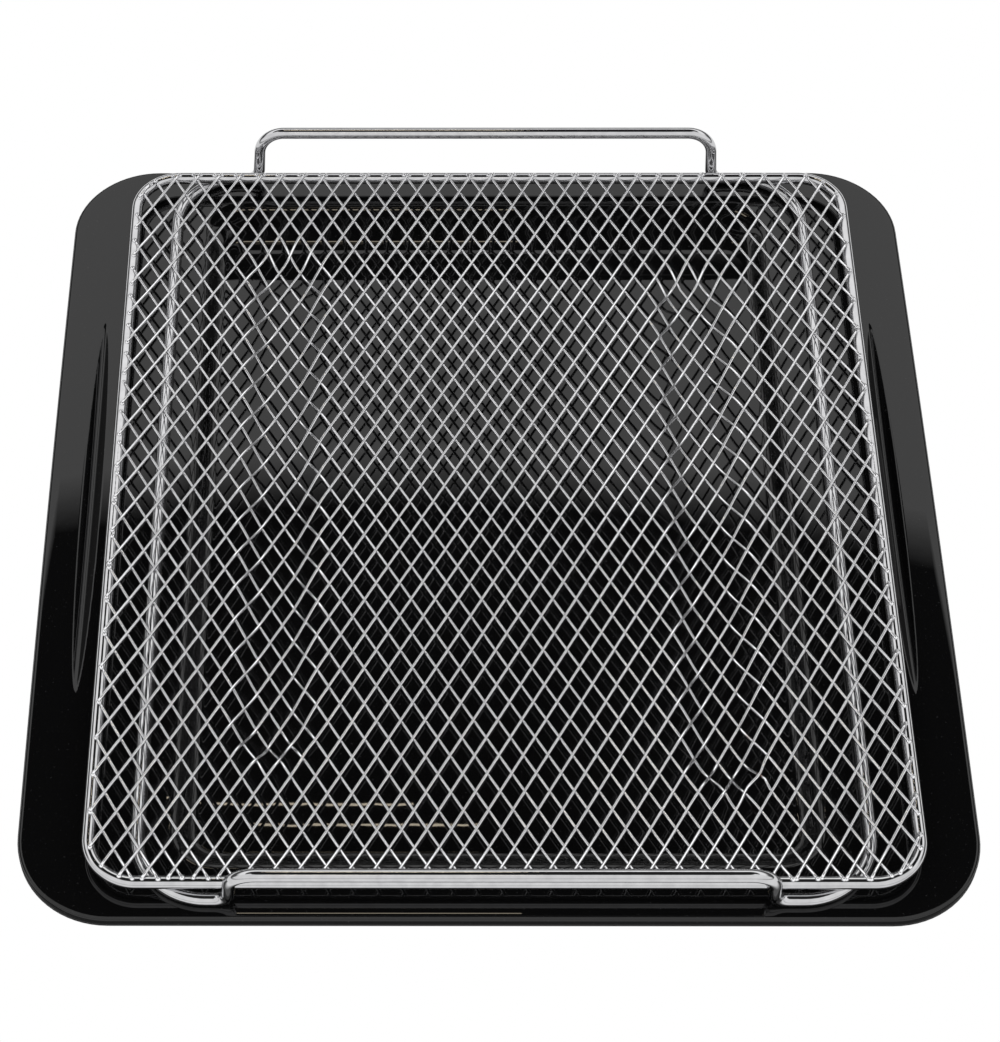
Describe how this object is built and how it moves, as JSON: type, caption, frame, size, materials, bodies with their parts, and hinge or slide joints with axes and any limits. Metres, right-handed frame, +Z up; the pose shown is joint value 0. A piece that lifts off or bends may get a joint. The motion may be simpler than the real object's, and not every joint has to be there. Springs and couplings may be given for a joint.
{
  "type": "oven tray with wire rack",
  "caption": "Shallow rectangular enamelled tray with a wide flange, carrying a wire rack of fine crossing wires with sunken channels and a raised bar handle at the front and back.",
  "frame": {"origin": "middle of the flat underside of the tray, on the surface that it stands on", "axes": "Z is up, X runs across between the long sides, Y runs from the front handle at -Y to the back handle at +Y"},
  "size_m": [0.3516, 0.3656, 0.0367],
  "materials": {
    "enamel": "black gloss enamel on pressed steel sheet, with a faint orange peel",
    "chrome_rod": "bright chrome plated steel rod",
    "chrome_wire": "bright plated fine steel wire, welded at each crossing"
  },
  "bodies": {
    "root": {"tray": "enamel", "rim_wire": "chrome_rod", "support_frame": "chrome_rod", "mesh_lower_wires": "chrome_wire", "mesh_upper_wires": "chrome_wire"}
  },
  "joints": []
}
